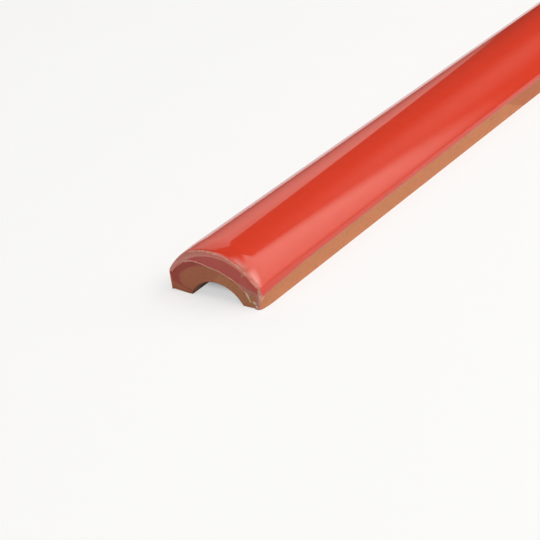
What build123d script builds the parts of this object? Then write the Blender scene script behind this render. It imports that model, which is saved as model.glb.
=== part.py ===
from build123d import *
from math import asin, cos, radians, sin, tan
import os

# Pencil trim tile: one pressed, glazed and fired clay piece, a low half-round moulding.
# X runs along the piece, Y across it and Z up. The origin is at the middle of the bed.
# The near flank is at -Y and the far flank at +Y. All sizes are in millimetres.

# Outside of the glazed piece
tile_length = 200.0
tile_width = 20.0
tile_height = 10.0
# Height of the upright flank, up to the crease where the crown starts
flank_height = 4.2
# The crown dips towards each end over this length, by this much
end_dip_length = 4.0
end_dip = 0.3

# Round hollow along the back, which saves clay and keys the bedding mortar
hollow_width = 11.4
hollow_height = 3.4

# Softness of the edges: the crease, the ends' arris, and the hollow's edge on each foot
crease_radius = 0.5
end_arris_radius = 0.3
near_foot_radius = 0.25
far_foot_radius = 0.9

# On the flanks the glaze stands proud of the clay, and thins out at this slope, in degrees.
# The clay is bare below the line.
flank_glaze_thickness = 0.12
flank_glaze_slope = 35.0
flank_glaze_line = 3.1
# On the ends it stands further proud, and stops in a rounded lip
end_glaze_thickness = 0.25
# How far it ran down an end from the crown, at places spaced round the crown.
# 1 is the crease of the far flank, where it ran least, and -1 that of the near flank.
end_glaze_runs = [(0.75, 1.35), (0.5, 1.7), (0.05, 3.8), (-0.37, 4.3), (-0.67, 4.2), (-0.98, 3.95)]
# It also wraps round the ends' upright edges. At the far one its lip meets the wrap this far
# below the crease, and it reaches the near foot at this slant, across and up.
near_corner_wrap = 2.0
far_corner_wrap = 0.6
far_corner_drop = 0.8
near_lip_slant = (-0.5, -1.0)

half_length = tile_length / 2
half_width = tile_width / 2
crown_rise = tile_height - flank_height
crown_radius = (half_width**2 + crown_rise**2) / (2 * crown_rise)
crown_axis_height = tile_height - crown_radius
crown_half_angle = asin(half_width / crown_radius)
end_lip_radius = 0.8 * end_glaze_thickness
# Cutters reach this far past the faces that they cut
past = 1.0
# Two places closer than this are the same
touch = 0.01


def end_lip_points():
    """Points of the glaze's lower edge on an end, from the far corner to the near foot."""
    points = [(half_width - far_corner_wrap, flank_height - far_corner_drop)]
    for place, run in end_glaze_runs:
        angle = place * crown_half_angle
        reach = crown_radius - run
        points.append((reach * sin(angle), crown_axis_height + reach * cos(angle)))
    points.append((near_corner_wrap - half_width, 0))
    return points


# Cutter for the bare clay on an end: a slab against the end face, with a boss that sinks into it.
# The round in the boss's corner leaves the rounded lip of the glaze.
with BuildPart() as bare_end:
    with Locations((half_length, 0, 0)):
        Box(
            past,
            tile_width + 2 * past,
            2 * (tile_height + past),
            align=(Align.MIN, Align.CENTER, Align.CENTER),
        )
    with BuildSketch(Plane.YZ.offset(half_length)):
        with BuildLine():
            lip = Spline(end_lip_points(), tangents=[(0, 1), near_lip_slant])
            under_near_foot = lip @ 1 + past * Vector(*near_lip_slant)
            under_far_foot = (half_width - far_corner_wrap, under_near_foot.Y)
            Polyline(lip @ 1, under_near_foot, under_far_foot, lip @ 0)
        make_face()
    extrude(amount=-end_glaze_thickness)
    boss_sides = bare_end.faces().filter_by(
        lambda face: face.bounding_box().max.X < half_length + touch
        and face.bounding_box().size.X > touch
        and face.center().Z > -past
    )
    boss_corner = boss_sides.edges().filter_by(lambda edge: abs(edge.center().X - half_length) < touch)
    fillet(boss_corner, end_lip_radius)


with BuildPart() as pencil_trim_tile:
    # Outside of the moulding: its section with soft creases, carried along a line that dips to the end
    with BuildSketch(Plane.YZ):
        with BuildLine():
            crown = ThreePointArc((-half_width, flank_height), (0, tile_height), (half_width, flank_height))
            Polyline(crown @ 1, (half_width, -past), (-half_width, -past), crown @ 0)
        make_face()
        fillet(vertices().group_by(Axis.Y)[-1], crease_radius)
    with BuildLine(Plane.XZ):
        level = Line((0, 0), (half_length - end_dip_length, 0))
        TangentArc(level @ 1, (half_length, -end_dip), tangent=level % 1)
    sweep(normal=(1, 0, 0))
    mirror(about=Plane.YZ)
    # Flat bed
    split(bisect_by=Plane.XY, keep=Keep.TOP)
    # Arris round each end, over the crown and down both flanks
    ends = pencil_trim_tile.faces().filter_by(Axis.X)
    arrises = ends.edges().filter_by(lambda edge: edge.bounding_box().max.Z > touch)
    fillet(arrises, end_arris_radius)

    # Round hollow along the back
    with BuildSketch(Plane.YZ):
        with BuildLine():
            hollow = ThreePointArc((-hollow_width / 2, 0), (0, hollow_height), (hollow_width / 2, 0))
            Polyline(hollow @ 1, (hollow_width / 2, -past), (-hollow_width / 2, -past), hollow @ 0)
        make_face()
    extrude(amount=half_length + past, both=True, mode=Mode.SUBTRACT)
    # Its edges: crisp on the near foot, worn round on the far one
    hollow_edges = pencil_trim_tile.edges().filter_by(
        lambda edge: edge.length > half_length
        and abs(edge.center().Z) < touch
        and abs(abs(edge.center().Y) - hollow_width / 2) < touch
    ).sort_by(Axis.Y)
    fillet(hollow_edges[0], near_foot_radius)
    fillet(hollow_edges[-1], far_foot_radius)

    # Bare clay on the flanks, up to the thin lower edge of the glaze
    with BuildSketch(Plane.YZ):
        clay_face = half_width - flank_glaze_thickness
        slope_rise = (flank_glaze_thickness + past) * tan(radians(flank_glaze_slope))
        with BuildLine():
            Polyline(
                (half_width + past, -past),
                (clay_face, -past),
                (clay_face, flank_glaze_line),
                (half_width + past, flank_glaze_line + slope_rise),
                close=True,
            )
        make_face()
        mirror(about=Plane.YZ)
    extrude(amount=half_length + past, both=True, mode=Mode.SUBTRACT)
    # Bare clay on both ends, below the glaze that ran over them
    add(bare_end.part, mode=Mode.SUBTRACT)
    mirror(bare_end.part, about=Plane.YZ, mode=Mode.SUBTRACT)

pencil_trim_tile.part.label = "pencil_trim_tile"

os.makedirs("parts", exist_ok=True)
export_step(pencil_trim_tile.part, "parts/pencil_trim_tile.step")
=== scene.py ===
import bpy
from math import asin, atan2, cos, exp, hypot, inf, pi, radians, sin, sqrt
from mathutils import Matrix, Vector, noise


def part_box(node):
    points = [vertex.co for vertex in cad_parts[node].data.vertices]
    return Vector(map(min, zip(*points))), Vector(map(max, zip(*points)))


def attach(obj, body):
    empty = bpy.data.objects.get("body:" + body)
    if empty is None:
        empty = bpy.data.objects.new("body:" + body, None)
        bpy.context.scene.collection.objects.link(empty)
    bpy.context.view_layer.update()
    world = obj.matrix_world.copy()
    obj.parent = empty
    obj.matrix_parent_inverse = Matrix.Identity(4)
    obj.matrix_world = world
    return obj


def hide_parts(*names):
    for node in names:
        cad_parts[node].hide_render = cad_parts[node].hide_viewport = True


# Pencil trim tile: one pressed clay piece with a glossy tomato-red glaze, seen on its near end.
# X runs along the piece, Y across it and Z up. Sizes here are in millimetres unless said.
# The near end is at -X and the near flank at -Y.

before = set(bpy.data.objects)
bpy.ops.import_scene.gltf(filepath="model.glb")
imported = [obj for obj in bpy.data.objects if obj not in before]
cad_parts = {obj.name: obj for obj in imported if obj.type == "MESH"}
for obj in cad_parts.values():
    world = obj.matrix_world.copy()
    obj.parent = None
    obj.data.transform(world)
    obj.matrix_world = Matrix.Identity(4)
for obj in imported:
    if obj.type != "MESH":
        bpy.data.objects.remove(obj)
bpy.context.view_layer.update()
low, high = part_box("pencil_trim_tile")

MM = 0.001
half_length = (high.x - low.x) / 2 / MM
half_width = (high.y - low.y) / 2 / MM
height = (high.z - low.z) / MM

# Moulding: upright flanks, a round crown and a soft crease between them
flank_height = 4.2
crease_radius = 0.5
crown_rise = height - flank_height
crown_radius = (half_width**2 + crown_rise**2) / (2 * crown_rise)
crown_axis = height - crown_radius
crown_half_angle = asin(half_width / crown_radius)
crease_y = half_width - crease_radius
crease_z = crown_axis + sqrt((crown_radius - crease_radius) ** 2 - crease_y**2)
crease_turn = asin(crease_y / (crown_radius - crease_radius))

# The outside draws in towards each end, more on its near side, and rounds over at the very end.
# The near corner keeps its full width at the crease, and is worn at the foot.
near_side_draw = 0.75
far_side_draw = 0.08
near_draw_length = 3.4
far_draw_length = 4.2
foot_draw = 0.45
end_round = 0.12
end_round_start = 0.75
end_round_length = 0.45
flank_round_share = 0.35
# Where these fade out and in: round the crown, as shares of its half angle, and across, in Y
near_crease_fade = (-1.1, -0.85)
far_crease_fade = (1.15, 0.95)
foot_fade = (-1.1, -1.35)
draw_spread = (12.0, -2.0)
draw_length_spread = (-6.0, 0.0)
end_round_spread = (11.0, 6.0)

# The far foot's outer corner is worn up by this much, over this length and height, from this Y outward
far_foot_lift = 0.3
far_foot_lift_length = 4.0
far_foot_lift_height = 1.0
far_foot_lift_start = 6.5

# Round hollow along the back, with a crisp edge on the near foot and a worn one on the far foot
hollow_half_width = 5.7
hollow_height = 3.4
near_foot_radius = 0.25
far_foot_radius = 0.9
hollow_radius = (hollow_half_width**2 + hollow_height**2) / (2 * hollow_height)
hollow_axis = hollow_height - hollow_radius
# Its far half came out a little narrower
far_hollow_share = 0.935

# Glaze on the flanks: how proud it stands, and the height of its lower edge. The edge wavers
# along the middle and sags at the ends, less on the far flank.
flank_glaze = 0.12
flank_glaze_line = 3.12
flank_lip = 0.15
flank_line_sag = 0.85
flank_line_sag_length = 9.0
corner_sag = 0.35
corner_sag_length = 0.4
far_sag_share = 0.2
flank_line_waver = 0.12
waver_fade = (2.0, 8.0)
# It wavers over the first of these lengths, and half as much over the second
waver_lengths = (9.0, 2.6)
# The far corners' clay comes out to the glaze over this length
far_corner_fill = 1.2

# Glaze on the ends: worn on the ridge, a rounded band under it, and thick at its lower lip
end_glaze = 0.25
ridge_radius = 0.2
ridge_least_turn = radians(6)
band_radius = 1.3
band_start = radians(50)
band_share = 0.8
face_dish = 0.05
nominal_set_back = 0.32
lip_width = 0.25
lip_share = 0.3
# How far it ran down, as (share of the crown's half angle, run); 1 is the far crease
end_glaze_runs = [
    (-1.0, 3.1), (-0.93, 3.7), (-0.67, 3.95), (-0.37, 4.25), (0.05, 3.95), (0.3, 3.0), (0.5, 2.05), (0.75, 1.4),
    (1.0, 0.75),
]
run_rounding = 0.05
# Its lip turns outward above the near foot, and leaves a film down both upright corners.
# The film's width on the near corner, as (height, width)
near_turn_height = 2.65
near_corner_film = [(0.0, 1.75), (0.7, 1.5), (1.2, 1.1), (1.8, 1.4), (2.3, 1.2), (2.65, 1.45)]
far_corner_wrap = 0.3
# On its far side the lip has no pale edge: from these shares on, it shows as this deep
far_lip_depth = 0.5
far_lip_fade = (0.5, 0.7)
# On the near corner the flank's colour runs on over the ridge by this much, between these heights
flank_run_on = 0.12
flank_run_on_foot = (1.9, 2.3)
flank_run_on_top = (4.8, 4.2)

# The near end's stain and painted shade, haze and dull glaze reach this far along the piece
stain_and_shade_reach = 0.5
haze_reach = 2.0
dull_reach = 3.0
# A point this far behind the ridge is on the outside
behind_ridge = 0.1

# Outline, on the near end, of the clay that the glaze didn't spatter, as (Y, Z)
bare_pocket = [
    (1.0, 12.0), (1.0, 6.2), (2.1, 6.0), (3.2, 5.8), (4.3, 5.5), (5.4, 5.1), (6.3, 4.5), (7.0, 3.85), (7.6, 3.15),
    (7.75, 2.35), (7.45, 1.7), (6.7, 1.35), (6.0, 1.2), (5.3, 1.15), (5.0, -2.0), (-12.0, -2.0), (-12.0, 12.0),
]
bare_pocket_fade = 0.4
# The deep stain also stops above the far foot's lower edge, which is clean. At this Y it fades
# between these heights, and they rise by the slant for each step outward.
clean_foot_y = 6.0
clean_foot_fade = (0.48, 0.88)
clean_foot_slant = 0.3
# It stops short of the upright corner too
clean_corner_fade = (half_width - 0.15, half_width - 0.4)
# The faint painted shade on the near end's far part ends at a slanting line through this point, facing this way
painted_shade_edge = (-1.34, 4.8)
painted_shade_slant = (0.656, 0.755)
painted_shade_fade = 0.3
faint_painted_shade = 0.35

# Thin, pale glaze on the near end. The band under the ridge has this width at the top of the crown,
# widens by this much for each share towards the far side, and ends between these heights.
haze_band_width = 0.8
haze_band_widening = 0.65
haze_band_edge = (-0.125, 0.125)
haze_band_foot = (3.5, 4.0)
# The whole far side has a fainter haze, from these shares on
far_haze = 0.35
far_haze_fade = (0.3, 0.6)
# The near corner has some outside a slanting line in Y, up to these heights
corner_haze = 0.8
corner_haze_slant = 0.12
corner_haze_side = (-8.95, -9.2)
corner_haze_top = (4.4, 4.1)
corner_haze_ridge = (0.05, -0.15)

# Dull, thin glaze by the near end. Behind the ridge, by distance from the end, share and height:
ridge_dull = 0.5
ridge_dull_length = (2.4, 0.4)
ridge_dull_side = (-0.3, -0.6)
ridge_dull_foot = (3.9, 4.3)
# Down the near corner, outside a line in Y that steps outward by this much between these heights
corner_dull_side = (-8.25, -8.4)
corner_dull_step = 1.15
corner_dull_step_heights = (2.4, 2.8)
corner_dull_top = (4.4, 3.9)
# Above the lip: a strip that starts at this share and widens by this much for each share beyond it
lip_dull = 0.75
lip_dull_start = -0.42
lip_dull_widening = 3.0
lip_dull_edge = (0.0, 0.5)
lip_dull_depth = (0.38, 0.53)

# Marks near the near end's corner, each from one point to another with a width. Points are
# (distance from the end, Y, Z). Cream flakes on the end face:
flakes = [
    ((0.2, -6.6, 2.85), (0.2, -7.05, 2.0), 0.3),
    ((0.2, -7.05, 2.0), (0.2, -7.4, 1.15), 0.22),
    ((0.2, -8.05, 1.1), (0.2, -8.5, 0.95), 0.32),
    ((0.2, -8.5, 0.95), (0.2, -8.9, 0.4), 0.22),
]
flake_colour = (0.95, 0.82, 0.64)
# A pale sliver round the corner, on the flank: a painted highlight on the thin glaze's rounded edge
corner_highlights = [
    ((1.15, -9.9, 2.42), (0.4, -9.9, 1.8), 0.2),
    ((0.4, -9.9, 1.8), (0.12, -9.85, 1.3), 0.22),
    ((0.12, -9.85, 1.3), (0.1, -9.7, 0.3), 0.2),
]
corner_highlight_colour = (0.84, 0.47, 0.35)
# A scuff in the glaze under the ridge, and a purple drop on the flank's clay
scuffs = [((0.2, -6.75, 6.3), (0.2, -6.6, 6.0), 0.3)]
scuff_colour = (0.42, 0.24, 0.15)
drops = [((1.4, -9.9, 2.36), (1.5, -9.9, 2.28), 0.2)]
drop_colour = (0.36, 0.09, 0.085)
# How far each axis counts in a mark's distance, for marks on the end face and on the flank
squash_on_end = (0.2, 1.0, 1.0)
squash_on_flank = (1.0, 0.2, 1.0)

# A thin film of glaze over the near flank's clay, at mid length. Its fronts slant by this much
# in X for each step up, and lie at these places in X, faded over their stretch.
film_slant = 2.33
film_start = (-6.9, -6.3)
film_end = (24.0, 16.0)
film_side = (-9.0, -9.5)
film_colour = (0.51, 0.167, 0.078)

# Glaze colours, from its full depth to where it is thin or worn, with some painted light: the end's red is thinner
# glaze darkened further as painted shade, and the end's lip pink is partly a painted highlight.
deep_red = (0.67, 0.047, 0.021)
light_red = (0.71, 0.055, 0.026)
# Darker red on the end: thinner glaze, and painted shade
thin_and_shaded_end_red = (0.56, 0.050, 0.024)
flank_edge_purple = (0.50, 0.165, 0.14)
# Pale pink of the end's lower lip: thin glaze edge with a painted highlight
lip_pink_and_highlight = (0.88, 0.43, 0.33)
dull_brown_red = (0.50, 0.19, 0.125)
haze_pink = (0.72, 0.235, 0.18)
worn_ridge_buff = (0.80, 0.52, 0.42)
# Distances behind the ridge where the end's red, darkened as painted shade, comes in, and depths where the edges
# turn pale: purplish on the flanks, and on the end's lip a pink that is partly a painted highlight
thin_and_shaded_end_fade = (0.05, -0.35)
flank_edge_fade = (0.3, 0.08)
lip_pink_highlight_fade = (0.42, 0.2)
# Amounts of dull film and haze, with their patches, that show
dull_fade = (0.2, 0.9)
haze_fade = (0.1, 1.0)
# The ridge is worn along a line this far inside it, where the unevenness lets it
worn_line_inset = 0.06
worn_line_fade = (0.2, -0.1)
worn_broad_fade = (0.3, 0.6)
worn_fine_fade = (0.7, 0.35)

# Clay colours
light_clay = (0.63, 0.240, 0.110)
dark_clay = (0.55, 0.212, 0.097)
clay_specks = (0.42, 0.155, 0.07)
speck_fade = (0.5, 0.8)
# Colour of the glaze stain, and of the faint painted shade on the near end
stained_and_shaded_clay = (0.46, 0.085, 0.062)
# Painted shade: a dark clay colour inside the hollow, standing in for its shadow
hollow_painted_shade = (0.20, 0.075, 0.035)
# Distances behind the hollow's surface where its painted shade comes in
hollow_shade_fade = (0.12, 0.02)

# Unevenness of the surfaces, as (scale, detail, how far it spreads a ragged edge or a patch)
fine_glaze = (1700.0, 3.0, 0.5)
broad_glaze = (420.0, 2.0, 0.6)
clay_grain = (2600.0, 4.0, 0.15)
broad_clay = (220.0, 3.0, 0.0)
# Shares of the fine glaze's spread at the glaze's edges and at its marks
edge_raggedness = 0.5
mark_raggedness = 0.3

# Mesh: columns go round the section, rings go along the piece, and rows go down each end
clay_columns = 12
lip_columns = 3
face_columns = 4
crease_columns = 6
crown_columns = 96
last_column = 2 * (clay_columns + lip_columns + face_columns + crease_columns) + crown_columns
ridge_rows = 3
band_rows = 8
face_rows = 6
lip_rows = 4
clay_rows = 10
glaze_rows = ridge_rows + band_rows + face_rows + lip_rows
last_row = glaze_rows + clay_rows
end_rings = 26
end_ring_length = 8.0
end_ring_gather = 1.6
middle_ring_step = 1.25
# Depth and ridge distance of the points in the hollow, which is far from any glaze
bare_depth = -3.0
bare_ridge = 9.0
# Edges that turn more than this look sharp
sharp_turn = radians(38)


def ease(t):
    """Smooth step from 0 to 1."""
    t = min(1.0, max(0.0, t))
    return t * t * (3 - 2 * t)


def ramp(value, start, end):
    """Smooth step of a value, from 0 at start to 1 at end."""
    return ease((value - start) / (end - start))


def between(a, b, t):
    """The value at a share of the way from a to b."""
    return a + (b - a) * t


def waver(x, seed):
    """Slow unevenness along the piece, about -1 to 1."""
    long, short = waver_lengths
    return noise.noise(Vector((x / long, seed, 0))) + 0.5 * noise.noise(Vector((x / short, seed, 5)))


def share_at(y, z):
    """Place round the crown: 1 and -1 are the far and near creases, and more is on the flanks."""
    return atan2(y, z - crown_axis) / crown_half_angle


def draw_in(x, y, z):
    """How far the outside is drawn in from its full section."""
    from_end = half_length - abs(x)
    share = share_at(y, z)
    above_crease = ramp(share, *near_crease_fade) * ramp(share, *far_crease_fade)
    depth = between(far_side_draw, near_side_draw, ramp(y, *draw_spread))
    depth = depth * above_crease + foot_draw * ramp(share, *foot_fade)
    length = between(near_draw_length, far_draw_length, ramp(y, *draw_length_spread))
    drawn = depth * max(0.0, 1 - from_end / length) ** 2
    over = max(0.0, (end_round_start - from_end) / end_round_length)
    rounded = end_round * between(flank_round_share, 1.0, above_crease) * ramp(y, *end_round_spread)
    return drawn + rounded * over**2


def foot_lift(x, y, z):
    """How far a point of the far foot's underside is worn up, at the near end."""
    lift = far_foot_lift * ramp(x + half_length, far_foot_lift_length, 0.0) * max(0.0, 1 - z / far_foot_lift_height)
    return lift * max(0.0, (y - far_foot_lift_start) / (half_width - far_foot_lift_start))


def end_slope(y, z):
    """Slope of the outside where the end's ridge starts, as an angle."""
    step = 0.02
    x = half_length - nominal_set_back
    return atan2(draw_in(x + step, y, z) - draw_in(x - step, y, z), 2 * step)


def glaze_line(x, side):
    """Height of the glaze's lower edge on a flank."""
    from_end = half_length - abs(x)
    sag = flank_line_sag * exp(-from_end / flank_line_sag_length) + corner_sag * exp(-from_end / corner_sag_length)
    if side > 0:
        sag *= far_sag_share
    return flank_glaze_line - sag + flank_line_waver * ramp(from_end, *waver_fade) * waver(x, 7 * side)


def outside_columns():
    """Columns of the outside, from the near flank's bed over the crown to the far one, with their sides."""
    half = [("clay", i / clay_columns) for i in range(clay_columns + 1)]
    half += [("lip", i / lip_columns) for i in range(1, lip_columns + 1)]
    half += [("face", i / face_columns) for i in range(1, face_columns)]
    half += [("turn", i / crease_columns) for i in range(crease_columns + 1)]
    half += [("crown", i * 2 / crown_columns) for i in range(1, crown_columns // 2 + 1)]
    return [(kind, t, -1) for kind, t in half] + [(kind, t, 1) for kind, t in reversed(half[:-1])]


def outside_point(kind, t, side, x):
    """Y, Z and the distance in from the glaze's lower edge, for one column at x."""
    line = glaze_line(x, side)
    clay_y = half_width - flank_glaze
    if side > 0:
        clay_y += flank_glaze * ramp(half_length - abs(x), far_corner_fill, 0.0)
    turn = pi / 2
    if kind == "clay":
        y, z, depth = clay_y, t * line, (t - 1) * line
    elif kind == "lip":
        y = max(clay_y, half_width - flank_glaze * (1 - sin(t * pi / 2)))
        z = line + flank_lip * (1 - cos(t * pi / 2))
        depth = t * flank_lip
    elif kind == "face":
        start = line + flank_lip
        y, z = half_width, between(start, crease_z, t)
        depth = z - line
    elif kind == "turn":
        turn = between(pi / 2, crease_turn, t)
        y = crease_y + crease_radius * sin(turn)
        z = crease_z + crease_radius * cos(turn)
        depth = z - line
    else:
        turn = crease_turn * (1 - t)
        y = crown_radius * sin(turn)
        z = crown_axis + crown_radius * cos(turn)
        depth = crease_z - line + crown_radius * (crease_turn - turn)
    drawn = draw_in(x, side * y, z)
    return side * (y - drawn * sin(turn)), z - drawn * cos(turn), depth


def read_off(table, at):
    """Value of a table of (place, value) rows at a place, along straight lines between its rows."""
    at = min(table[-1][0], max(table[0][0], at))
    for (a, value_a), (b, value_b) in zip(table, table[1:]):
        if at <= b:
            break
    return between(value_a, value_b, (at - a) / (b - a))


def smooth_run(share):
    """How far the glaze ran down the end, with the table's corners rounded off."""
    taps = [-1.0, -0.5, 0.0, 0.5, 1.0]
    return sum(read_off(end_glaze_runs, share + run_rounding * tap) for tap in taps) / len(taps)


def on_ray(turn, reach):
    """A point of the end at an angle from the crown's axis."""
    return Vector((reach * sin(turn), crown_axis + reach * cos(turn)))


def lip_point(kind, z, turn, side):
    """Where the glaze ends on the end face, inward of an outside point."""
    if kind in ("turn", "crown"):
        share = side * turn / crown_half_angle
        return on_ray(side * turn, crown_radius - smooth_run(share))
    if side > 0:
        return Vector((half_width - far_corner_wrap, z))
    foot_y = read_off(near_corner_film, z) - half_width
    if z < near_turn_height:
        return Vector((foot_y, z))
    top = on_ray(-crown_half_angle, crown_radius - smooth_run(-1.0))
    t = (crease_z - z) / (crease_z - near_turn_height)
    return Vector((between(top.x, foot_y, t), between(top.y, near_turn_height, t)))


def hollow_on_ray(turn):
    """Where a ray from the crown's axis leaves the clay, at the hollow."""
    lift = crown_axis - hollow_axis
    along = -lift * cos(turn) + sqrt(hollow_radius**2 - (lift * sin(turn)) ** 2)
    return on_ray(turn, along)


def hollow_edge(side, t):
    """A point of the hollow's edge: 0 at the bed, 1 where the crease's ray meets the hollow."""
    radius = far_foot_radius if side > 0 else near_foot_radius
    round_z = radius
    round_y = sqrt((hollow_radius + radius) ** 2 - (round_z - hollow_axis) ** 2)
    meet_turn = atan2(round_y, round_z - hollow_axis)
    top = hollow_on_ray(crown_half_angle)
    top_turn = atan2(top.x, top.y - hollow_axis)
    round_share = 0.5
    if t < round_share:
        turn = meet_turn * t / round_share
        y = round_y - radius * sin(turn)
        z = round_z - radius * cos(turn)
    else:
        turn = between(meet_turn, top_turn, (t - round_share) / (1 - round_share))
        y = hollow_radius * sin(turn)
        z = hollow_axis + hollow_radius * cos(turn)
    return Vector((side * y, z))


def hollow_point(kind, z, turn, side):
    """The hollow's point that faces an outside point."""
    if kind in ("turn", "crown"):
        place = hollow_on_ray(side * min(turn, crown_half_angle))
    else:
        place = hollow_edge(side, min(1.0, z / crease_z))
    if side > 0:
        place.x *= far_hollow_share
    return place


def glaze_profile(reach, slope):
    """Steps down the glaze of an end, as (distance in from the outside, set back from the end).

    They start on the ridge, at the slope of the outside there. A short reach has a smaller round.
    """
    lip = min(lip_width, lip_share * reach)
    face_end = reach - lip
    start = min(slope, band_start - ridge_least_turn)
    full_round = band_radius * cos(band_start) + ridge_radius * cos(start)
    scale = min(1.0, band_share * face_end / full_round)
    turned = scale * ridge_radius
    rounded = scale * band_radius
    steps = []
    for i in range(ridge_rows + 1):
        turn = between(start, band_start, i / ridge_rows)
        back = rounded * (1 - sin(band_start)) + turned * (sin(band_start) - sin(turn))
        steps.append((turned * (cos(start) - cos(turn)), back))
    ridge_in = steps[-1][0]
    for i in range(1, band_rows + 1):
        turn = between(band_start, pi / 2, i / band_rows)
        steps.append((ridge_in + rounded * (cos(band_start) - cos(turn)), rounded * (1 - sin(turn))))
    band_end = steps[-1][0]
    for i in range(1, face_rows + 1):
        t = i / face_rows
        steps.append((between(band_end, face_end, t), face_dish * sin(pi * t)))
    for i in range(1, lip_rows + 1):
        turn = pi / 2 * i / lip_rows
        steps.append((face_end + lip * sin(turn), end_glaze * (1 - cos(turn))))
    return steps


def end_profile(kind, t, side):
    """Points down the end for one column.

    Each is (Y, Z, set back, distance in from the lip, distance in from the outside).
    """
    y, z, depth = outside_point(kind, t, side, half_length - nominal_set_back)
    outside = Vector((y, z))
    turn = atan2(abs(y), z - crown_axis)
    lip = lip_point(kind, z, turn, side)
    hollow = hollow_point(kind, z, turn, side)
    down = lip - outside
    reach = down.length
    points = []
    for along, back in glaze_profile(reach, end_slope(y, z)):
        place = outside + down * (along / reach)
        points.append((place.x, place.y, back, reach - along, (place - outside).length))
    for i in range(1, clay_rows + 1):
        place = lip + (hollow - lip) * (i / clay_rows)
        points.append((place.x, place.y, end_glaze, -(place - lip).length, (place - outside).length))
    return points


def side_of_line(y, z, line):
    """Signed distance from a closed outline of the end, positive outside it."""
    inside = False
    nearest = inf
    for (y1, z1), (y2, z2) in zip(line, line[1:] + line[:1]):
        if (z1 > z) != (z2 > z) and y < y1 + (z - z1) / (z2 - z1) * (y2 - y1):
            inside = not inside
        run_y, run_z = y2 - y1, z2 - z1
        t = ((y - y1) * run_y + (z - z1) * run_z) / (run_y**2 + run_z**2)
        t = min(1.0, max(0.0, t))
        nearest = min(nearest, hypot(y - y1 - t * run_y, z - z1 - t * run_z))
    return -nearest if inside else nearest


def stain_and_shade_at(x, y, z):
    """Stain of spattered glaze on the near end's clay, deep round the far foot, and beside it a faint painted shade
    in the same colour.
    """
    if x + half_length > stain_and_shade_reach:
        return 0.0
    deep = ramp(side_of_line(y, z, bare_pocket), 0.0, bare_pocket_fade)
    deep *= ramp(z - clean_foot_slant * (y - clean_foot_y), *clean_foot_fade) * ramp(y, *clean_corner_fade)
    # Painted shade: a faint darkening of the end's far part, past a slanting line
    across, up = painted_shade_slant
    past_edge = (y - painted_shade_edge[0]) * across + (z - painted_shade_edge[1]) * up
    return max(deep, faint_painted_shade * ramp(past_edge, 0.0, painted_shade_fade))


def haze_at(x, y, z, ridge):
    """Where the near end's glaze is thin and pale: a band under the ridge, its far side, its near corner."""
    if x + half_length > haze_reach or ridge > behind_ridge:
        return 0.0
    share = share_at(y, z)
    band_width = haze_band_width + haze_band_widening * share
    band = ramp(band_width + ridge, *haze_band_edge) * ramp(z, *haze_band_foot)
    far_side = far_haze * ramp(share, *far_haze_fade)
    corner = corner_haze * ramp(y + corner_haze_slant * z, *corner_haze_side)
    corner *= ramp(z, *corner_haze_top) * ramp(ridge, *corner_haze_ridge)
    return max(band, far_side, corner)


def dull_at(x, y, z, depth, ridge):
    """Where the glaze is dull and thin: above the near lip, down the near corner, and behind its ridge."""
    from_end = x + half_length
    if from_end > dull_reach or y > 0:
        return 0.0
    share = share_at(y, z)
    if ridge > behind_ridge:
        behind = ridge_dull * ramp(from_end, *ridge_dull_length)
        return behind * ramp(share, *ridge_dull_side) * ramp(z, *ridge_dull_foot)
    step = corner_dull_step * ramp(z, *corner_dull_step_heights)
    corner = ramp(y + step, *corner_dull_side) * ramp(z, *corner_dull_top)
    strip_width = lip_dull_widening * (lip_dull_start - share)
    strip = lip_dull * ramp(strip_width - depth, *lip_dull_edge) * ramp(depth, *lip_dull_depth)
    return max(corner, strip)


def depth_at(y, z, depth, ridge):
    """Depth of the glaze as its colour shows it: the lip has no pale edge on its far side."""
    if ridge > 0:
        return depth
    return max(depth, far_lip_depth * ramp(share_at(y, z), *far_lip_fade))


def ridge_run_on(y, z):
    """How far the flank's colour runs on over the ridge, on the near upright corner."""
    if y >= 0:
        return 0.0
    return flank_run_on * ramp(z, *flank_run_on_foot) * ramp(z, *flank_run_on_top)


class TileSurface:
    """Points of the closed surface by their keys, and what each one knows of the glaze."""

    def __init__(self):
        self.index = {}
        self.points = []
        names = ("glaze_depth", "ridge_distance", "pale_haze", "dull_film", "glaze_stain_and_shade")
        self.values = {name: [] for name in names}

    def keep(self, key, x, y, z, depth, ridge):
        """Adds a point. Ridge is its distance behind the end's ridge, less than 0 on the end face."""
        self.index[key] = len(self.points)
        self.points.append((x, y, z + foot_lift(x, y, z)))
        self.values["glaze_depth"].append(depth_at(y, z, depth, ridge))
        self.values["ridge_distance"].append(ridge)
        self.values["pale_haze"].append(haze_at(x, y, z, ridge))
        self.values["dull_film"].append(dull_at(x, y, z, depth, ridge))
        self.values["glaze_stain_and_shade"].append(stain_and_shade_at(x, y, z))


def ring_places():
    """Places of the rings along the piece, as shares of the half length from -1 to 1."""
    near = [half_length - end_ring_length * (i / end_rings) ** end_ring_gather for i in range(end_rings)]
    middle = 2 * (half_length - end_ring_length)
    steps = round(middle / middle_ring_step)
    inner = [half_length - end_ring_length - middle * i / steps for i in range(steps + 1)]
    places = near + inner + [-x for x in reversed(near)]
    return [x / half_length for x in reversed(places)]


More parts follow.
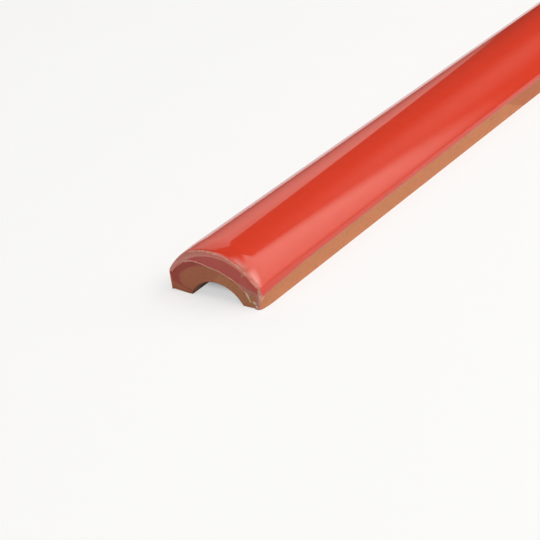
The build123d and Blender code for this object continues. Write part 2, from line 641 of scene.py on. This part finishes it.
def keep_ring(surface, r, place, columns, profiles):
    """The points of one ring: over the outside, along the hollow, and under both feet."""
    for c, (kind, t, side) in enumerate(columns):
        y, z, back = profiles[c][0][:3]
        x = place * (half_length - back)
        outside_y, outside_z, depth = outside_point(kind, t, side, x)
        if abs(place) != 1:
            y, z = outside_y, outside_z
        surface.keep(("out", r, c), x, y, z, depth, half_length - back - abs(x))
    for c, profile in enumerate(profiles):
        y, z = profile[last_row][:2]
        surface.keep(("in", r, c), place * (half_length - end_glaze), y, z, bare_depth, bare_ridge)
    for c, name in ((last_column, "far"), (0, "near")):
        for v in range(1, last_row):
            y, z, back, depth, rim = profiles[c][v]
            surface.keep((name, r, v), place * (half_length - back), y, z, depth, -rim)


def keep_end(surface, r, sign, profiles):
    """The points of one end face, inside its outline."""
    for c in range(1, last_column):
        for v in range(1, last_row):
            y, z, back, depth, rim = profiles[c][v]
            surface.keep(("end", r, c, v), sign * (half_length - back), y, z, depth, ridge_run_on(y, z) - rim)


def end_key(r, c, v):
    """Key of the point at one column and row of an end."""
    if v == 0:
        return ("out", r, c)
    if v == last_row:
        return ("in", r, c)
    if c == 0:
        return ("near", r, v)
    if c == last_column:
        return ("far", r, v)
    return ("end", r, c, v)


def ring_key(r, i):
    """Key of the point at one step round a ring: the outside, the far foot, the hollow, the near foot."""
    if i <= last_column:
        return ("out", r, i)
    i -= last_column
    if i < last_row:
        return ("far", r, i)
    i -= last_row
    if i <= last_column:
        return ("in", r, last_column - i)
    return ("near", r, last_row - (i - last_column))


def tile_faces(index, last_ring):
    """Faces between the rings and over both ends, and whether each one is glazed."""
    faces, glazed = [], []
    around = 2 * (last_column + last_row)
    for r in range(last_ring):
        for i in range(around):
            j = (i + 1) % around
            keys = (ring_key(r, i), ring_key(r, j), ring_key(r + 1, j), ring_key(r + 1, i))
            faces.append([index[key] for key in keys])
            glazed.append(clay_columns <= i < last_column - clay_columns)
    for r in (0, last_ring):
        for c in range(last_column):
            for v in range(last_row):
                keys = (end_key(r, c, v), end_key(r, c + 1, v), end_key(r, c + 1, v + 1), end_key(r, c, v + 1))
                quad = [index[key] for key in keys]
                if r == 0:
                    quad.reverse()
                faces.append(quad)
                glazed.append(v < glaze_rows and c < last_column - clay_columns)
    return faces, glazed


def tile_surface():
    """The whole closed surface, its faces and which of them are glazed."""
    surface = TileSurface()
    columns = outside_columns()
    profiles = [end_profile(*column) for column in columns]
    places = ring_places()
    last_ring = len(places) - 1
    for r, place in enumerate(places):
        keep_ring(surface, r, place, columns, profiles)
    keep_end(surface, 0, -1, profiles)
    keep_end(surface, last_ring, 1, profiles)
    faces, glazed = tile_faces(surface.index, last_ring)
    return surface, faces, glazed


def node(tree, kind, values=None, **settings):
    """Adds a shader node, with its settings and its unlinked input values."""
    made = tree.nodes.new("ShaderNode" + kind)
    for name, value in settings.items():
        setattr(made, name, value)
    for name, value in (values or {}).items():
        made.inputs[name].default_value = value
    return made


def math_node(tree, operation, a, b=None, c=None):
    """A Math node; each input is a number or another node's output."""
    made = tree.nodes.new("ShaderNodeMath")
    made.operation = operation
    for socket, value in zip(made.inputs, (a, b, c)):
        if value is None:
            continue
        if isinstance(value, (int, float)):
            socket.default_value = value
        else:
            tree.links.new(value, socket)
    return made.outputs[0]


def product(tree, *values):
    """Outputs and numbers multiplied together."""
    total = values[0]
    for value in values[1:]:
        total = math_node(tree, "MULTIPLY", total, value)
    return total


def vector_node(tree, operation, a, b=None):
    """A Vector Math node; its second input, if any, is a tuple, a number for a scale, or an output."""
    made = node(tree, "VectorMath", operation=operation)
    tree.links.new(a, made.inputs[0])
    second = made.inputs["Scale" if operation == "SCALE" else 1]
    if isinstance(b, bpy.types.NodeSocket):
        tree.links.new(b, second)
    elif b is not None:
        second.default_value = b
    return made.outputs["Value" if operation in ("DOT_PRODUCT", "LENGTH") else "Vector"]


def blend_colour(tree, amount, a, b):
    """Mixes two colours, each a tuple or an output, by an output or a number."""
    made = tree.nodes.new("ShaderNodeMix")
    made.data_type = "RGBA"
    for socket, value in ((made.inputs["Factor"], amount), (made.inputs[6], a), (made.inputs[7], b)):
        if isinstance(value, bpy.types.NodeSocket):
            tree.links.new(value, socket)
        elif isinstance(value, tuple):
            socket.default_value = (*value, 1)
        else:
            socket.default_value = value
    return made.outputs[2]


def fade(tree, value, start, end):
    """Smooth step of an output, from 0 at start to 1 at end."""
    made = node(tree, "MapRange", {"From Min": start, "From Max": end}, interpolation_type="SMOOTHSTEP")
    tree.links.new(value, made.inputs["Value"])
    return made.outputs["Result"]


def separate(tree, vector):
    """The X, Y and Z outputs of a vector."""
    made = node(tree, "SeparateXYZ")
    tree.links.new(vector, made.inputs[0])
    return made.outputs


def surface_value(tree, name):
    """One of the values that the mesh carries on its points."""
    return node(tree, "Attribute", attribute_name=name).outputs["Fac"]


def new_material(name):
    """A material with its node tree and its shader."""
    material = bpy.data.materials.new(name)
    material.use_nodes = True
    return material, material.node_tree, material.node_tree.nodes["Principled BSDF"]


def new_group(name, vectors, numbers, results):
    """A node group with its named inputs and outputs: its tree, what it is given, and what it puts out."""
    tree = bpy.data.node_groups.new(name, "ShaderNodeTree")
    for socket in vectors:
        tree.interface.new_socket(socket, in_out="INPUT", socket_type="NodeSocketVector")
    for socket in numbers:
        tree.interface.new_socket(socket, in_out="INPUT", socket_type="NodeSocketFloat")
    for socket in results:
        tree.interface.new_socket(socket, in_out="OUTPUT", socket_type="NodeSocketFloat")
    given = tree.nodes.new("NodeGroupInput").outputs
    return tree, given, tree.nodes.new("NodeGroupOutput").inputs


def uneven_group():
    """Group: noise over the surface, about 0 to 1, and the same centred on 0 over a spread."""
    tree, given, result = new_group("uneven", ("Place",), ("Scale", "Detail", "Spread"), ("Noise", "Ragged"))
    texture = node(tree, "TexNoise")
    tree.links.new(given["Place"], texture.inputs["Vector"])
    tree.links.new(given["Scale"], texture.inputs["Scale"])
    tree.links.new(given["Detail"], texture.inputs["Detail"])
    centred = math_node(tree, "SUBTRACT", texture.outputs["Fac"], 0.5)
    tree.links.new(texture.outputs["Fac"], result["Noise"])
    tree.links.new(product(tree, centred, given["Spread"]), result["Ragged"])
    return tree


def uneven(tree, group, place, scale, detail, spread):
    """The noise of one surface, and how ragged it makes an edge."""
    made = node(tree, "Group", {"Scale": scale, "Detail": detail, "Spread": spread}, node_tree=group)
    tree.links.new(place, made.inputs["Place"])
    return made.outputs["Noise"], made.outputs["Ragged"]


def mark_group():
    """Group: a ragged mark along a straight stretch of the near end, given in millimetres."""
    tree, given, result = new_group("mark", ("Place", "Start", "End", "Squash"), ("Width", "Ragged"), ("Mark",))
    from_start = vector_node(tree, "SUBTRACT", given["Place"], given["Start"])
    stretch = vector_node(tree, "SUBTRACT", given["End"], given["Start"])
    along = vector_node(tree, "DOT_PRODUCT", from_start, stretch)
    length_squared = vector_node(tree, "DOT_PRODUCT", stretch, stretch)
    share = math_node(tree, "DIVIDE", along, length_squared)
    share = math_node(tree, "MAXIMUM", math_node(tree, "MINIMUM", share, 1.0), 0.0)
    offset = vector_node(tree, "SUBTRACT", from_start, vector_node(tree, "SCALE", stretch, share))
    offset = vector_node(tree, "MULTIPLY", offset, given["Squash"])
    distance = math_node(tree, "ADD", vector_node(tree, "LENGTH", offset), given["Ragged"])
    mark = node(tree, "MapRange", {"From Max": 0.0}, interpolation_type="SMOOTHSTEP")
    tree.links.new(distance, mark.inputs["Value"])
    tree.links.new(given["Width"], mark.inputs["From Min"])
    tree.links.new(mark.outputs["Result"], result["Mark"])
    return tree


def marks(tree, group, place, ragged, stretches, squash=squash_on_end):
    """A list of the near end's marks, as one mask. Squash says how far each axis counts."""
    scaled = vector_node(tree, "SCALE", place, 1 / MM)
    total = 0.0
    for start, end, width in stretches:
        start = (start[0] - half_length, *start[1:])
        end = (end[0] - half_length, *end[1:])
        values = {"Start": start, "End": end, "Squash": squash, "Width": width}
        made = node(tree, "Group", values, node_tree=group)
        tree.links.new(scaled, made.inputs["Place"])
        tree.links.new(ragged, made.inputs["Ragged"])
        total = math_node(tree, "MAXIMUM", made.outputs["Mark"], total)
    return total


def tomato_glaze(mark, unevenness):
    """Glossy red glaze: thin and purplish at its edges, a pale film on the ends, worn along the ridges. Its end is
    darker with painted shade, and its lip there has a painted pink highlight.
    """
    material, tree, shader = new_material("tomato_glaze")
    depth = surface_value(tree, "glaze_depth")
    ridge = surface_value(tree, "ridge_distance")
    place = node(tree, "TexCoord").outputs["Object"]
    fine, ragged = uneven(tree, unevenness, place, *fine_glaze)
    broad, patchy = uneven(tree, unevenness, place, *broad_glaze)

    on_end = fade(tree, ridge, *thin_and_shaded_end_fade)
    on_flank = math_node(tree, "SUBTRACT", 1.0, on_end)
    # The end's red is darkened as painted shade
    colour = blend_colour(tree, on_end, blend_colour(tree, broad, deep_red, light_red), thin_and_shaded_end_red)
    edge = math_node(tree, "MULTIPLY_ADD", ragged, edge_raggedness, depth)
    flank_edge = product(tree, on_flank, fade(tree, edge, *flank_edge_fade))
    colour = blend_colour(tree, flank_edge, colour, flank_edge_purple)
    # Painted highlight along the end's lower lip, over its thin pale edge
    lip_highlight_mask = product(tree, on_end, fade(tree, edge, *lip_pink_highlight_fade))
    colour = blend_colour(tree, lip_highlight_mask, colour, lip_pink_and_highlight)
    dull = math_node(tree, "ADD", surface_value(tree, "dull_film"), patchy)
    colour = blend_colour(tree, fade(tree, dull, *dull_fade), colour, dull_brown_red)
    haze = math_node(tree, "ADD", surface_value(tree, "pale_haze"), patchy)
    colour = blend_colour(tree, fade(tree, haze, *haze_fade), colour, haze_pink)

    from_line = math_node(tree, "ABSOLUTE", math_node(tree, "ADD", ridge, worn_line_inset))
    worn_line = fade(tree, math_node(tree, "ADD", from_line, ragged), *worn_line_fade)
    worn = product(tree, worn_line, fade(tree, broad, *worn_broad_fade), fade(tree, fine, *worn_fine_fade))
    colour = blend_colour(tree, worn, colour, worn_ridge_buff)
    rough_edge = product(tree, ragged, mark_raggedness)
    colour = blend_colour(tree, marks(tree, mark, place, rough_edge, scuffs), colour, scuff_colour)
    colour = blend_colour(tree, marks(tree, mark, place, rough_edge, flakes), colour, flake_colour)
    tree.links.new(colour, shader.inputs["Base Color"])
    shader.inputs["Roughness"].default_value = 0.07
    shader.inputs["IOR"].default_value = 1.5
    return material


def flank_film(tree, place):
    """Mask of the film over the near flank's clay."""
    front = vector_node(tree, "DOT_PRODUCT", place, (1 / MM, 0, film_slant / MM))
    near_side = fade(tree, separate(tree, place)["Y"], film_side[0] * MM, film_side[1] * MM)
    return product(tree, fade(tree, front, *film_start), fade(tree, front, *film_end), near_side)


def hollow_shade_mask(tree, place):
    """Mask of the hollow's own surface, which gets the painted shade."""
    section = vector_node(tree, "MULTIPLY", place, (0, 1 / MM, 1 / MM))
    radius = vector_node(tree, "LENGTH", vector_node(tree, "SUBTRACT", section, (0, 0, hollow_axis)))
    start, end = hollow_shade_fade
    return fade(tree, radius, hollow_radius + start, hollow_radius + end)


def fired_clay(mark, unevenness):
    """Bare terracotta with a fine grain, stained where glaze spattered it. It also carries painted light: a faint
    painted shade on the near end's far part, a dark painted shade in the hollow, and a painted highlight round the
    near corner on the flank.
    """
    material, tree, shader = new_material("fired_clay")
    place = node(tree, "TexCoord").outputs["Object"]
    grain, ragged = uneven(tree, unevenness, place, *clay_grain)
    broad = uneven(tree, unevenness, place, *broad_clay)[0]
    clay = blend_colour(tree, broad, light_clay, dark_clay)
    clay = blend_colour(tree, fade(tree, grain, *speck_fade), clay, clay_specks)
    # Glaze stain, and the faint painted shade on the near end
    clay = blend_colour(tree, surface_value(tree, "glaze_stain_and_shade"), clay, stained_and_shaded_clay)
    clay = blend_colour(tree, flank_film(tree, place), clay, film_colour)
    # Painted shade inside the hollow
    clay = blend_colour(tree, hollow_shade_mask(tree, place), clay, hollow_painted_shade)
    clay = blend_colour(tree, marks(tree, mark, place, ragged, flakes), clay, flake_colour)
    clay = blend_colour(tree, marks(tree, mark, place, ragged, drops, squash_on_flank), clay, drop_colour)
    # Painted highlight round the near corner, on the flank
    clay = blend_colour(tree, marks(tree, mark, place, ragged, corner_highlights, squash_on_flank), clay, corner_highlight_colour)
    tree.links.new(clay, shader.inputs["Base Color"])
    bump = node(tree, "Bump", {"Strength": 0.25, "Distance": 0.0002})
    tree.links.new(grain, bump.inputs["Height"])
    tree.links.new(bump.outputs["Normal"], shader.inputs["Normal"])
    shader.inputs["Roughness"].default_value = 0.85
    return material


def build_tile():
    """The tile as one closed mesh that stands for the CAD node."""
    surface, faces, glazed = tile_surface()
    mesh = bpy.data.meshes.new("glazed_trim_tile")
    mesh.from_pydata([(x * MM, y * MM, z * MM) for x, y, z in surface.points], [], faces)
    for name, numbers in surface.values.items():
        mesh.attributes.new(name, "FLOAT", "POINT").data.foreach_set("value", numbers)
    mark, unevenness = mark_group(), uneven_group()
    mesh.materials.append(fired_clay(mark, unevenness))
    mesh.materials.append(tomato_glaze(mark, unevenness))
    mesh.polygons.foreach_set("material_index", [int(g) for g in glazed])
    mesh.shade_smooth()
    mesh.set_sharp_from_angle(angle=sharp_turn)
    mesh.update()
    mesh.validate()
    tile = bpy.data.objects.new("glazed_trim_tile", mesh)
    bpy.context.scene.collection.objects.link(tile)
    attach(tile, "root")
    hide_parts("pencil_trim_tile")
    return tile


# Where the lamps aim, in metres: by the near end
aim = Vector((-0.08, 0, 0.008))
# Tint of the lamps that show most in the glaze
warm_white = (1.0, 0.97, 0.89)


def direction(azimuth, elevation):
    """Unit vector; azimuth from +X towards +Y, and elevation above the floor, in degrees."""
    a, e = radians(azimuth), radians(elevation)
    return Vector((cos(a) * cos(e), sin(a) * cos(e), sin(e)))


def softbox_strength(tree, soft, rise, lean):
    """How bright a softbox is over its face, from 0 to 1, by its parametric place."""
    face = separate(tree, node(tree, "NewGeometry").outputs["Parametric"])
    u, v = face["X"], face["Y"]
    left, right, lower, upper = soft
    leaning = math_node(tree, "ADD", u, math_node(tree, "MULTIPLY_ADD", v, -lean, 0.5 * lean))
    strength = product(
        tree,
        fade(tree, u, 0.0, left),
        fade(tree, leaning, 1.0, 1.0 - right),
        fade(tree, v, 0.0, lower),
        fade(tree, v, 1.0, 1.0 - upper),
    )
    if rise:
        brighter = node(tree, "MapRange", {"From Max": rise[0], "To Min": rise[1]})
        tree.links.new(v, brighter.inputs["Value"])
        strength = product(tree, strength, brighter.outputs["Result"])
    return strength


def softbox(
    name, azimuth, elevation, size, distance, brightness, soft=(0.02,) * 4, rise=None, lean=0.0, upright=False,
    tint=(1, 1, 1),
):
    """A rectangular lamp that faces the tile, sized and placed in metres.

    Brightness is its radiance: 1 is paper white. Soft is how far its left, right, lower and upper
    edges fade, as shares of its size. Rise is the share of its height over which it brightens, and
    its brightness at the bottom. Lean is how far its right edge leans out, as a share of its width
    over its height.
    """
    data = bpy.data.lights.new(name, "AREA")
    data.shape = "RECTANGLE"
    data.size, data.size_y = size
    data.energy = brightness * pi * size[0] * size[1]
    data.color = tint
    data.use_nodes = True
    tree = data.node_tree
    tree.links.new(softbox_strength(tree, soft, rise, lean), tree.nodes["Emission"].inputs["Strength"])
    lamp = bpy.data.objects.new(name, data)
    bpy.context.scene.collection.objects.link(lamp)
    lamp.location = aim + direction(azimuth, elevation) * distance
    lamp.rotation_mode = "QUATERNION"
    lamp.rotation_quaternion = direction(azimuth, 0 if upright else elevation).to_track_quat("Z", "Y")
    lamp.visible_camera = False
    return lamp


def build_lamps():
    """Softboxes at the places where the photograph's glaze mirrors its own."""
    very_soft, quite_soft = (0.45,) * 4, (0.4,) * 4
    softbox("back_card", 55, 35.1, (0.83, 1.366), 1.223, 1.0, rise=(0.35, 0.15), upright=True, tint=warm_white)
    softbox(
        "right_softbox", -46, 38, (0.83, 1.36), 1.1, 2.4, soft=(0.35, 0.17, 0.25, 0.2), rise=(0.42, 0.4), lean=0.36,
        tint=warm_white,
    )
    softbox("side_glow", -13, 36, (0.85, 0.62), 1.1, 0.42, soft=very_soft, tint=warm_white)
    softbox("key_softbox", -84, 43, (0.93, 0.64), 1.1, 6.8, soft=very_soft, tint=warm_white)
    softbox("front_softbox", -122, 44, (0.6, 0.48), 1.1, 4.2, soft=quite_soft)
    softbox("high_softbox", 125, 64, (0.8, 0.7), 1.1, 2.2, soft=quite_soft)
    softbox("ceiling", -105, 76, (1.0, 0.9), 1.0, 3.3, soft=very_soft)


def build_studio():
    """A dim room that is white to the camera alone."""
    world = bpy.data.worlds.new("studio")
    world.use_nodes = True
    tree = world.node_tree
    seen = node(tree, "LightPath").outputs["Is Camera Ray"]
    colour = blend_colour(tree, seen, (0.04, 0.04, 0.04), (1.0, 1.0, 1.0))
    tree.links.new(colour, tree.nodes["Background"].inputs["Color"])
    bpy.context.scene.world = world


# Half of the floor's side, in metres
floor_half = 0.75
# Share of the floor's colour that is plain white to the camera; the rest is lit and shadowed.
# The floor under the tile has none of it, so that the hollow stays in its own shade.
floor_whiteness = 0.6
# The whiteness comes in between these distances from the middle, along X and across it
end_white_start = ((half_length - 7.5) * MM, (half_length - 2.5) * MM)
flank_white_start = ((half_width - 1.5) * MM, (half_width + 0.5) * MM)


def pale_floor():
    """Matt white that keeps the tile's soft shadow."""
    material, tree, shader = new_material("pale_floor")
    shader.inputs["Base Color"].default_value = (0.94, 0.94, 0.94, 1)
    shader.inputs["Roughness"].default_value = 0.9
    shader.inputs["Specular IOR Level"].default_value = 0.0
    ray = node(tree, "LightPath").outputs
    seen = math_node(tree, "ADD", ray["Is Camera Ray"], ray["Is Glossy Ray"])
    seen = math_node(tree, "ADD", seen, ray["Is Transmission Ray"])
    place = separate(tree, node(tree, "TexCoord").outputs["Object"])
    past_end = fade(tree, math_node(tree, "ABSOLUTE", place["X"]), *end_white_start)
    past_flank = fade(tree, math_node(tree, "ABSOLUTE", place["Y"]), *flank_white_start)
    beside_tile = math_node(tree, "MAXIMUM", past_end, past_flank)
    paper = node(tree, "Emission", {"Color": (1, 1, 1, 1), "Strength": 1.0})
    mix = node(tree, "MixShader")
    tree.links.new(product(tree, seen, beside_tile, floor_whiteness), mix.inputs["Fac"])
    tree.links.new(shader.outputs["BSDF"], mix.inputs[1])
    tree.links.new(paper.outputs["Emission"], mix.inputs[2])
    tree.links.new(mix.outputs["Shader"], tree.nodes["Material Output"].inputs["Surface"])
    return material


def build_floor():
    """Plain pale floor, wide enough to fill the view."""
    half = floor_half
    mesh = bpy.data.meshes.new("floor")
    mesh.from_pydata([(-half, -half, 0), (half, -half, 0), (half, half, 0), (-half, half, 0)], [], [(0, 1, 2, 3)])
    mesh.materials.append(pale_floor())
    floor = bpy.data.objects.new("floor", mesh)
    bpy.context.scene.collection.objects.link(floor)


# The photograph's camera: its place in metres, its heading, tilt and roll in degrees, and its lens
camera_place = Vector((-0.27228, -0.15953, 0.12418))
camera_turns = (-49.619, 27.089, -9.076)
camera_lens = 102.52


def build_camera():
    """Camera at the photograph's angle: it looks down on the near end, and leans to one side."""
    azimuth, elevation, roll = (radians(turn) for turn in camera_turns)
    back = Vector((sin(azimuth) * cos(elevation), -cos(azimuth) * cos(elevation), sin(elevation)))
    right = Vector((0, 0, 1)).cross(back).normalized()
    up = back.cross(right)
    x_axis = cos(roll) * right + sin(roll) * up
    y_axis = -sin(roll) * right + cos(roll) * up
    turn = Matrix((x_axis, y_axis, back)).transposed()
    data = bpy.data.cameras.new("camera")
    data.sensor_width = 36.0
    data.lens = camera_lens
    data.clip_start = 0.01
    data.clip_end = 20
    camera = bpy.data.objects.new("camera", data)
    bpy.context.scene.collection.objects.link(camera)
    camera.matrix_world = Matrix.Translation(camera_place) @ turn.to_4x4()
    bpy.context.scene.camera = camera


build_camera()
build_floor()
build_lamps()
build_studio()
build_tile()
bpy.context.scene.view_settings.view_transform = "Standard"
